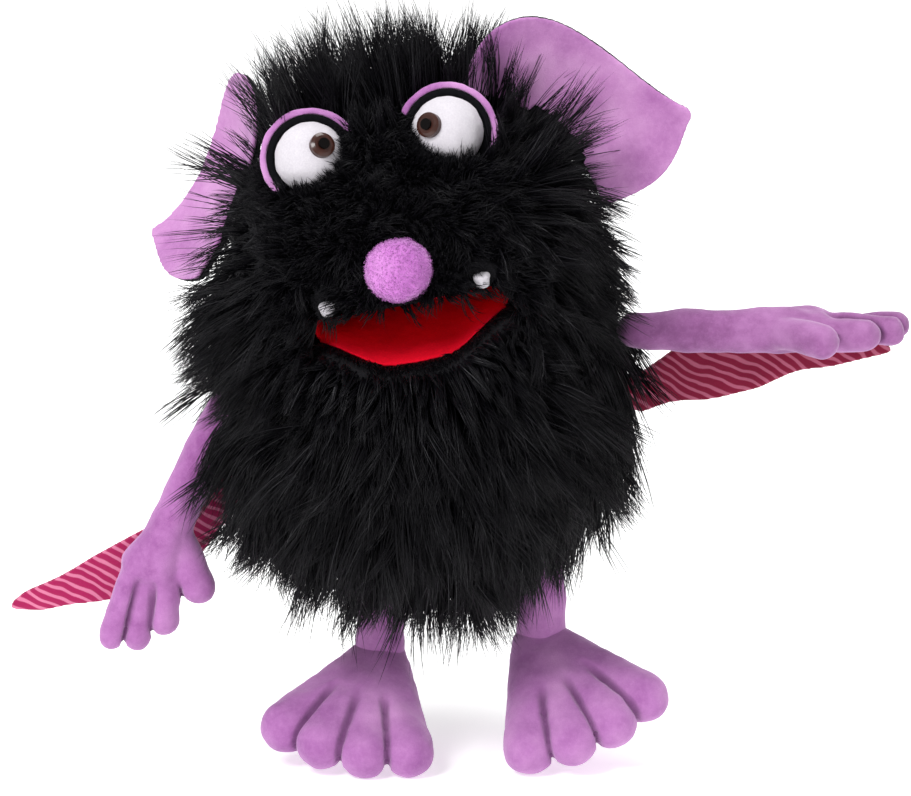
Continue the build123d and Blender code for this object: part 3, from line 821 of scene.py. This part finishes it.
def build_face_pile(skin, rng):
    """Short curled pile between the eyes and round the nose, combed down and away from the middle."""
    roots, normals = scatter(skin, FACE_HAIRS, rng, short_zone)
    p = to_head(roots)
    aside = np.abs(p[:, 0])
    noise.seed_set(CURL_SEED)  # without it noise_vector takes a seed from the clock
    curl = np.array([noise.noise_vector(Vector(q) / (14 * MM)) for q in roots])
    flow = np.zeros((len(p), 3))
    flow[:, 0] = 0.9 * np.sign(p[:, 0]) * smoothstep(0, 30, aside)
    flow[:, 2] = -0.6
    ways = unit(normals + 0.5 * curl), unit(0.35 * normals + 1.1 * curl + 0.5 * turned(flow))
    length = (rng.uniform(8, 13, len(roots)) + 4 * smoothstep(20, 50, aside)) * MM
    grow(
        "face_pile", "head", roots, ways, length, rng, 9, (0.26, 0.42),
        pale=0.02, dim=0.8, gather=0.7, frizz=0.3,
    )


def build_head_hair():
    rng = np.random.default_rng(11)
    skin = under_skin("head_backing", 3 * MM, "head", 1, draw_in_head, "head_fur")
    build_long_hair(skin, rng)
    for side, way in SIDES.items():
        build_eye_tuft(skin, side, way)
    build_face_pile(skin, rng)


def build_chin_hair():
    """Hair that fans down and out from under the lower lip, longer further down."""
    rng = np.random.default_rng(12)
    skin = under_skin("chin_backing", 2 * MM, "jaw", 2, lift_lip, "chin_fur")

    def zone(points, normals):
        p = to_head(points)
        out = ((normals @ HEAD_AXES) * unit(p)).sum(axis=1) > 0.3
        return out & (np.linalg.norm(p, axis=1) > 80)

    roots, normals = scatter(skin, CHIN_HAIRS, rng, zone)
    p = to_head(roots)
    n = normals @ HEAD_AXES
    fan = unit(p * (0.9, 0, 1) - (0, 25, 12))
    ways = turned(unit(0.8 * n + 0.45 * fan)), turned(unit(fan + 0.1 * n - 0.35 * UP))
    length = (14 + 32 * smoothstep(-14, -40, p[:, 2])) * MM
    grow("chin_hair", "jaw", roots, ways, length, rng, 15, (0.26, 0.44), pale=0.07)
    build_lip_hair(rng)


LIP_HAIRS = 3600
LIP_HALF_WIDTH = 45
LIP_CORNER = 44  # past this the hairs stand along the mouth's corner
LIP_RADIUS = 80
LIP_DROP = math.sin(math.radians(11))  # the jaw is this far open at rest


def build_lip_hair(rng):
    """A fringe along the lower lip, from one corner of the mouth to the other."""
    across = rng.uniform(-LIP_HALF_WIDTH, LIP_HALF_WIDTH, LIP_HAIRS)
    ahead = np.sqrt(LIP_RADIUS**2 - across**2) + rng.uniform(-0.5, 1.5, LIP_HAIRS)
    ahead = np.where(np.abs(across) > LIP_CORNER, rng.uniform(40, 66, LIP_HAIRS), ahead)
    drop = -ahead * LIP_DROP - rng.uniform(0.5, 6.5, LIP_HAIRS)
    rim = np.column_stack([across, -ahead, drop])
    out = unit(rim * (1, 1, 0))
    roots = lift_lip(from_head(rim))
    ways = turned(unit(out + 0.35 * UP)), turned(unit(0.8 * out - 0.9 * UP))
    length = rng.uniform(7, 12, LIP_HAIRS) * MM
    grow("lip_hair", "jaw", roots, ways, length, rng, 8, (0.24, 0.38), pale=0.03, frizz=0.25)


def body_hair_ways(q, normals, away):
    """The body's hair hangs, spreads at the right side and in front fans out from below the mouth."""
    out = unit(q)
    front = smoothstep(-0.25, -0.75, q[:, 1])[:, None]
    level = unit(q * (1, 0.55, 0))
    spread = 0.45 - 0.45 * smoothstep(0, 0.5, q[:, :1])
    hang = spread * level - UP
    flow = unit((1 - front) * hang + front * (0.75 * away - 0.75 * UP + 0.10 * out))
    flow = flow - 0.45 * out * (flow * out).sum(axis=1, keepdims=True)
    high = smoothstep(-0.35, 0.45, q[:, 2])[:, None]
    first = unit((0.25 + 0.8 * spread) * normals + 0.6 * flow)
    return first, unit(flow + 0.5 * spread * high * level * (np.abs(q[:, :1]) > 0.5))


def build_body_hair():
    rng = np.random.default_rng(13)
    skin = under_skin("body_backing", 3.5 * MM, "body", 3, draw_in_body, "body_fur")

    def zone(points, normals):
        q = points - BODY_AT
        out = (normals * unit(q)).sum(axis=1) > 0.35
        return out & (np.linalg.norm(q, axis=1) > 0.83 * BODY_FUR_RADIUS)

    roots, normals = scatter(skin, BODY_HAIRS, rng, zone)
    q = (roots - BODY_AT) / BODY_FUR_RADIUS
    below_mouth = from_head((0, -88, -18))
    ways = body_hair_ways(q, normals, unit(roots - below_mouth))
    length = (42 + 8 * rng.random(len(roots)) - 4 * smoothstep(-0.5, -0.85, q[:, 2])) * MM
    grow(
        "body_hair", "body", roots, ways, length, rng, 20, (0.26, 0.46),
        pale=0.06, gather=0.9, uneven=0.34,
    )


# ---- face ----

FOLD_REACH = 6  # millimetres from the jaw's axis where the jaw's share goes by depth, not by angle
CORNER_LAG = 0.3  # the webs at the mouth's corners get this much less of the jaw's share


def build_mouth():
    """The red pocket: palate, floor, the fold between them and the webs that close the corners.

    It works out each point's share of the jaw's turn: none above the mouth's opening, all below it and smooth in
    between. The share is not used.
    """
    nodes = ["palate_lining", "mouth_floor_lining", "mouth_fold", "mouth_gusset_left", "mouth_gusset_right"]
    lining = remesh(copy_of("mouth_lining", RED_FELT, *nodes), 0.9 * MM, 6)
    p = to_head(points_of(lining))
    set_points(lining, lift_lip(points_of(lining)))
    ripple(lining, 0.35 * MM, 9 * MM, 4)
    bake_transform(lining)
    angle = np.degrees(np.arctan2(p[:, 2], -p[:, 1]))
    at_fold = np.hypot(p[:, 1], p[:, 2]) < FOLD_REACH
    jaw_share = np.where(at_fold, 0.5 - p[:, 2] / (2 * FOLD_REACH), smoothstep(7, -9, angle))
    jaw_share = jaw_share * (1 - CORNER_LAG * smoothstep(28, 46, np.abs(p[:, 0])))
    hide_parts(*nodes)


def build_eyes():
    for side, way in SIDES.items():
        ball = remesh(copy_of(f"eye_{side}", WHITE_FELT, f"eyeball_{side}"), 1.0 * MM, 3)
        ripple(ball, 0.35 * MM, 7 * MM, 5 + way)
        dress(ball, "white_felt", "head", f"eyeball_{side}")
        for part, material, slot in (
            ("eyelid", LAVENDER, "lavender_velour"),
            ("eyelid_lining", BLACK_FELT, "black_cloth"),
        ):
            lid = remesh(copy_of(f"soft_{part}_{side}", material, f"{part}_{side}"), 0.8 * MM, 5)
            ripple(lid, 0.35 * MM, 8 * MM, 9 + way)
            dress(lid, slot, "head", f"{part}_{side}")


NOSE_FUZZ = 6400


def build_nose():
    """A plush ball, a little wider than high, with short pile standing on it."""
    nose = remesh(copy_of("nose_ball", NOSE_PLUSH, "nose"), 1.0 * MM, 3)
    p = to_head(points_of(nose))
    middle = p.mean(axis=0)
    set_points(nose, from_head(middle + (p - middle) * (1.02, 1, 0.95) - (0, 0, 1.5)))
    ripple(nose, 0.7 * MM, 9 * MM, 14)
    dress(nose, "lavender_velour", "head", "nose")

    rng = np.random.default_rng(15)
    roots, normals = scatter(nose, NOSE_FUZZ, rng, lambda points, normals: np.ones(len(points), bool))
    lean = unit(rng.standard_normal((NOSE_FUZZ, 3)))
    first, last = unit(normals + 0.5 * lean), unit(normals + 1.2 * lean)
    length = rng.uniform(0.6, 1.0, NOSE_FUZZ) * 1.3 * MM
    lines, _, _ = comb(roots, 5, first, last, length, rng, gather=0.5, frizz=0.3)
    thickness = rng.uniform(0.07, 0.11, NOSE_FUZZ) * MM
    pile = strands("nose_fuzz", lines, thickness, rng.random(NOSE_FUZZ), NOSE_PLUSH, rng)
    ride_all(pile, "head")


def build_fangs():
    for side, way in SIDES.items():
        fang = remesh(copy_of(f"soft_fang_{side}", WHITE_FELT, f"fang_{side}"), 0.6 * MM, 4)
        p = to_head(points_of(fang))
        middle = p.mean(axis=0)
        set_points(fang, from_head(middle + (p - middle) * (1.0, 1.0, 0.80)))
        ripple(fang, 0.4 * MM, 4 * MM, 16 + way)
        dress(fang, "white_felt", "head", f"fang_{side}")


EAR_HAIRS = 4200
EAR_MARGIN = 6 * MM  # no pile grows this close to an ear's rim


def build_ear_pile(side, way, front, rear):
    """Short black pile on the back of an ear, combed from its root outward."""
    away = -unit(np.mean(points_of(front), axis=0) - np.mean(points_of(rear), axis=0))
    edge = points_of(rear)[np.abs(normals_of(rear) @ away) < 0.4]
    rim = kdtree.KDTree(len(edge))
    for index, point in enumerate(edge):
        rim.insert(point, index)
    rim.balance()

    def facing_back(points, normals):
        clear = np.array([rim.find(point)[2] for point in points]) > EAR_MARGIN
        return (normals @ away > 0.5) & clear

    rng = np.random.default_rng(24 + way)
    roots, normals = scatter(rear, EAR_HAIRS, rng, facing_back)
    outward = unit(roots - joint_at(f"ear_{side}_flop"))
    ways = unit(0.7 * normals + 0.5 * outward), unit(outward + 0.1 * normals)
    length = rng.uniform(4, 6, len(roots)) * MM
    grow(f"ear_pile_{side}", f"ear_{side}", roots, ways, length, rng, 10, (0.24, 0.36), frizz=0.2)


def build_ears():
    for side, way in SIDES.items():
        body = f"ear_{side}"
        front = remesh(copy_of(f"ear_face_{side}", EAR_VELOUR, f"ear_front_{side}"), 1.1 * MM, 5)
        ripple(front, 0.8 * MM, 30 * MM, 20 + way)
        dress(front, "lavender_velour", body, f"ear_front_{side}")
        rear = remesh(copy_of(f"ear_rear_{side}", BACKING, f"ear_back_{side}"), 1.1 * MM, 4)
        dress(rear, "black_pile", body, f"ear_back_{side}")
        build_ear_pile(side, way, front, rear)


# ---- limbs ----

# Millimetres in the hand frame, X from the wrist to the fingers and Y to the thumb's side. Each digit
# is its root, its tip and its radius; the palm is balls, each a place and a radius.
DIGITS = (
    ((15, 4, 0), (35.5, 20.8, 0), 8.6),
    ((30, 2, 0), (56, 9.5, 0), 8.2),
    ((30, -5, 0), (68.5, 0, 0), 7.2),
    ((30, -12, 0), (72, -12, 0), 6.8),
)
PALM = (((0, 0, 0), 10.6), ((18, -2, 0), 11.2), ((33, 1, 0), 9.6), ((33, -10, 0), 9.4))


def hand_axes(side):
    thumb = joint_axis(f"wrist_{side}")
    arm = joint_at(f"wrist_{side}") - joint_at(f"shoulder_{side}")
    along = unit(arm - thumb * (arm @ thumb))
    return np.column_stack([along, thumb, np.cross(along, thumb)])


def build_arms():
    for side, way in SIDES.items():
        wrist, shoulder = joint_at(f"wrist_{side}"), joint_at(f"shoulder_{side}")
        axes = hand_axes(side)

        def place(point, wrist=wrist, axes=axes):
            return wrist + MM * (axes @ np.array(point, float))

        elbow = (0.45 * wrist + 0.55 * shoulder, 10.8 * MM)
        cuff = (place((0, 0, 0)), 10.4 * MM)
        pairs = [((shoulder, 8.6 * MM), elbow), (elbow, cuff)]
        palm = [(place(point), radius * MM) for point, radius in PALM]
        pairs += [(palm[0], palm[1]), (palm[1], palm[2]), (palm[1], palm[3]), (palm[2], palm[3])]
        for number, (root, tip, radius) in enumerate(DIGITS):
            lift = (0, 0, 1.2 if number % 2 else -0.6)
            knuckle = tuple(0.5 * (a + b) + c for a, b, c in zip(root, tip, lift))
            joints = ((root, 0.93), (knuckle, 0.97), (tip, 1.0))
            chain = [(place(point), share * radius * MM) for point, share in joints]
            pairs += [(chain[0], chain[1]), (chain[1], chain[2])]
        arm = remesh(hull(f"arm_skin_{side}", pairs, ARM_VELOUR[side]), 1.6 * MM, 3)
        inflate(arm, lambda q, at=shoulder: np.linalg.norm(q - at, axis=1) < 12 * MM, 1.2 * MM)
        arm = subdivide(arm)
        digits = [(place(root), place(tip), radius * MM) for root, tip, radius in DIGITS]
        crease(arm, digits, 2.6 * MM, 1.5 * MM, 0.12)
        ripple(arm, 0.8 * MM, 16 * MM, 30 + way)
        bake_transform(arm)
        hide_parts(f"arm_{side}", f"hand_{side}")


def build_wings():
    """Two layers of striped cloth, waved along the wing and draped between."""
    for side in SIDES:
        root = joint_at(f"wing_{side}_swing")
        for part in ("front", "back"):
            cloth = copy_of(f"wing_cloth_{part}_{side}", STRIPES[side], f"wing_{part}_{side}")
            cloth = remesh(cloth, 1.0 * MM, 4)
            p = points_of(cloth)
            out = np.linalg.norm((p - root)[:, [0, 2]], axis=1)
            wave = np.sin(out / (13 * MM) + 3.0 * p[:, 2] / (60 * MM)) * smoothstep(30 * MM, 70 * MM, out)
            p[:, 1] += 1.3 * MM * wave
            drape = np.array([noise.noise(Vector((q[0], 0, q[2])) / (17 * MM)) for q in p])
            p[:, 1] += 1.6 * MM * drape * smoothstep(25 * MM, 60 * MM, out)
            set_points(cloth, p)
            dress(cloth, "striped_cloth", f"wing_{side}", f"wing_{part}_{side}")


def foot_axes(side):
    up = -np.array(MOUNTS[f"sole_{side}"]["axis"], float)
    sole = np.array(MOUNTS[f"sole_{side}"]["pos_m"], float)
    ahead = unit(sole + 16 * MM * up - joint_at(f"ankle_{side}"))
    return np.column_stack([ahead, np.cross(up, ahead), up])


# Millimetres in the foot frame, X ahead from the ankle and Z up.
TOE_ANGLES = (-30, -10, 10, 30)
TOE_REACH = 61
SOLE = -16.6


def build_legs():
    for side, way in SIDES.items():
        hip, ankle = joint_at(f"hip_{side}"), joint_at(f"ankle_{side}")
        knee = 0.5 * (hip + ankle)
        balls = [(hip, 9.6 * MM), (knee, 11.6 * MM), (ankle, 12.4 * MM)]
        pairs = [(balls[0], balls[1]), (balls[1], balls[2])]
        leg = remesh(hull(f"leg_skin_{side}", pairs, LAVENDER), 1.5 * MM, 6)
        ripple(leg, 0.9 * MM, 14 * MM, 40 + way)
        dress(leg, "lavender_velour", f"leg_{side}", f"leg_{side}")
        build_foot(side, way, ankle)


def build_foot(side, way, ankle):
    """A stuffed foot with four toes, creased between them and pressed flat under the sole."""
    axes = foot_axes(side)

    def place(point):
        return ankle + MM * (axes @ np.array(point, float))

    collar = (place((0, 0, 0)), 14.6 * MM)
    heel = (place((1, 0, -3)), 15.8 * MM)
    pairs, digits = [(collar, heel)], []
    for angle in TOE_ANGLES:
        turn = math.radians(angle)
        ahead = np.array((math.cos(turn), math.sin(turn), 0))
        instep = (place(14 * ahead + (0, 0, -2.5)), 14.4 * MM)
        middle = (place(38 * ahead + (0, 0, -4.6)), 13.2 * MM)
        toe = (place(TOE_REACH * ahead + (0, 0, -7.0)), 12.8 * MM)
        pairs += [(collar, instep), (instep, middle), (middle, toe)]
        digits.append((instep[0], toe[0], 12.3 * MM))
    foot = remesh(hull(f"foot_skin_{side}", pairs, LAVENDER), 1.8 * MM, 4)
    inflate(foot, lambda q: np.linalg.norm(q - ankle, axis=1) < 17 * MM, 2.2 * MM)
    foot = subdivide(foot)
    crease(foot, digits, 2.6 * MM, 1.7 * MM, 0.30)
    ripple(foot, 0.7 * MM, 15 * MM, 44 + way)
    local = (points_of(foot) - ankle) @ axes / MM
    bulge = 0.6 * np.exp((local[:, 2] - SOLE) / 3)
    local[:, 2] = np.maximum(local[:, 2], SOLE - bulge)
    set_points(foot, ankle + MM * local @ axes.T)
    dress(foot, "lavender_velour", f"foot_{side}", f"foot_upper_{side}", f"foot_sole_{side}")


# ---- cloth inside the body, and the hard parts ----


def build_inside():
    for name, node, voxel in (("hem_cloth", "opening_hem", 1.5), ("lining_cloth", "body_lining", 2.5)):
        cloth = remesh(copy_of(name, BLACK_CLOTH, node), voxel * MM, 2)
        ripple(cloth, 0.3 * MM, 14 * MM, 50)
        dress(cloth, "black_cloth", "body", node)


def paint(material, *nodes):
    for node in nodes:
        mesh = frame["nodes"][node].data
        mesh.materials.clear()
        mesh.materials.append(material)


def paint_hard_parts():
    for side in SIDES:
        paint(IRIS, f"iris_{side}")
        paint(PUPIL, f"pupil_{side}")
        paint(WASHER, f"eye_washer_{side}")
    paint(BOARD, "upper_mouth_board", "lower_mouth_board")
    paint(PADDING, "head_padding")
    paint(BLACK_CLOTH, "neck_band", "finger_pocket", "thumb_pocket")


build_mouth()
build_eyes()
build_nose()
build_fangs()
build_ears()
build_arms()
build_wings()
build_legs()
build_inside()
paint_hard_parts()
build_head_hair()
build_chin_hair()
build_body_hair()


# ---- floor, light, camera ----


def paper_material():
    """Matt white paper that glows a little, so that the floor meets the white world without a line."""
    n = Nodes("paper")
    n.bump(n.noise(60, 2), 0.02, 0.2 * MM)
    paper, glow = (0.93, 0.93, 0.93, 1), (1, 1, 1, 1)
    return n.finish(Base_Color=paper, Roughness=0.9, Emission_Color=glow, Emission_Strength=0.5)


FLOOR_RADIUS = 14
FLOOR_CORNERS = 64


def build_floor():
    """A wide pale floor; the white world behind it is the backdrop."""
    turns = np.linspace(0, 2 * math.pi, FLOOR_CORNERS, endpoint=False)
    points = [(FLOOR_RADIUS * math.cos(a), FLOOR_RADIUS * math.sin(a), 0.0) for a in turns]
    floor = link("floor", mesh_of("floor", points, [range(FLOOR_CORNERS)]), paper_material())


def area_light(name, place, target, size, power):
    data = bpy.data.lights.new(name, "AREA")
    data.shape = "DISK"
    data.size = size
    data.energy = power
    light = bpy.data.objects.new(name, data)
    light.location = place
    light.rotation_mode = "QUATERNION"
    light.rotation_quaternion = (Vector(target) - Vector(place)).to_track_quat("-Z", "Y")
    bpy.context.scene.collection.objects.link(light)


def build_light():
    """Three soft lamps and a world that lights the object dimly but looks white to the camera."""
    centre = (0, 0, 0.19)
    area_light("key", (-0.9, -1.3, 1.5), centre, 0.8, 31)
    area_light("fill", (1.3, -1.1, 0.8), centre, 1.1, 4)
    area_light("top", (0.1, 0.4, 1.7), centre, 0.9, 15)
    world = bpy.data.worlds.new("studio")
    world.use_nodes = True
    tree = world.node_tree
    background = tree.nodes["Background"]
    background.inputs["Color"].default_value = (1, 1, 1, 1)
    seen = tree.nodes.new("ShaderNodeLightPath")
    strength = tree.nodes.new("ShaderNodeMapRange")
    strength.inputs["To Min"].default_value = 0.55
    strength.inputs["To Max"].default_value = 1.0
    tree.links.new(seen.outputs["Is Camera Ray"], strength.inputs["Value"])
    tree.links.new(strength.outputs["Result"], background.inputs["Strength"])
    bpy.context.scene.world = world
    bpy.context.scene.view_settings.view_transform = "Standard"


CAMERA_FAR = 5.0
CAMERA_ELEVATION = math.radians(15)
CAMERA_TARGET = Vector((-0.0027, 0, 0.174))
PICTURE_WIDTH = 0.437  # metres across the picture, at the target
SENSOR = 36


def build_camera():
    back = Vector((0, -math.cos(CAMERA_ELEVATION), math.sin(CAMERA_ELEVATION)))
    data = bpy.data.cameras.new("camera")
    data.sensor_width = SENSOR
    data.lens = SENSOR * CAMERA_FAR / PICTURE_WIDTH
    camera = bpy.data.objects.new("camera", data)
    camera.location = CAMERA_TARGET + CAMERA_FAR * back
    camera.rotation_mode = "QUATERNION"
    camera.rotation_quaternion = (-back).to_track_quat("-Z", "Y")
    bpy.context.scene.collection.objects.link(camera)
    bpy.context.scene.camera = camera


build_floor()
build_light()
build_camera()
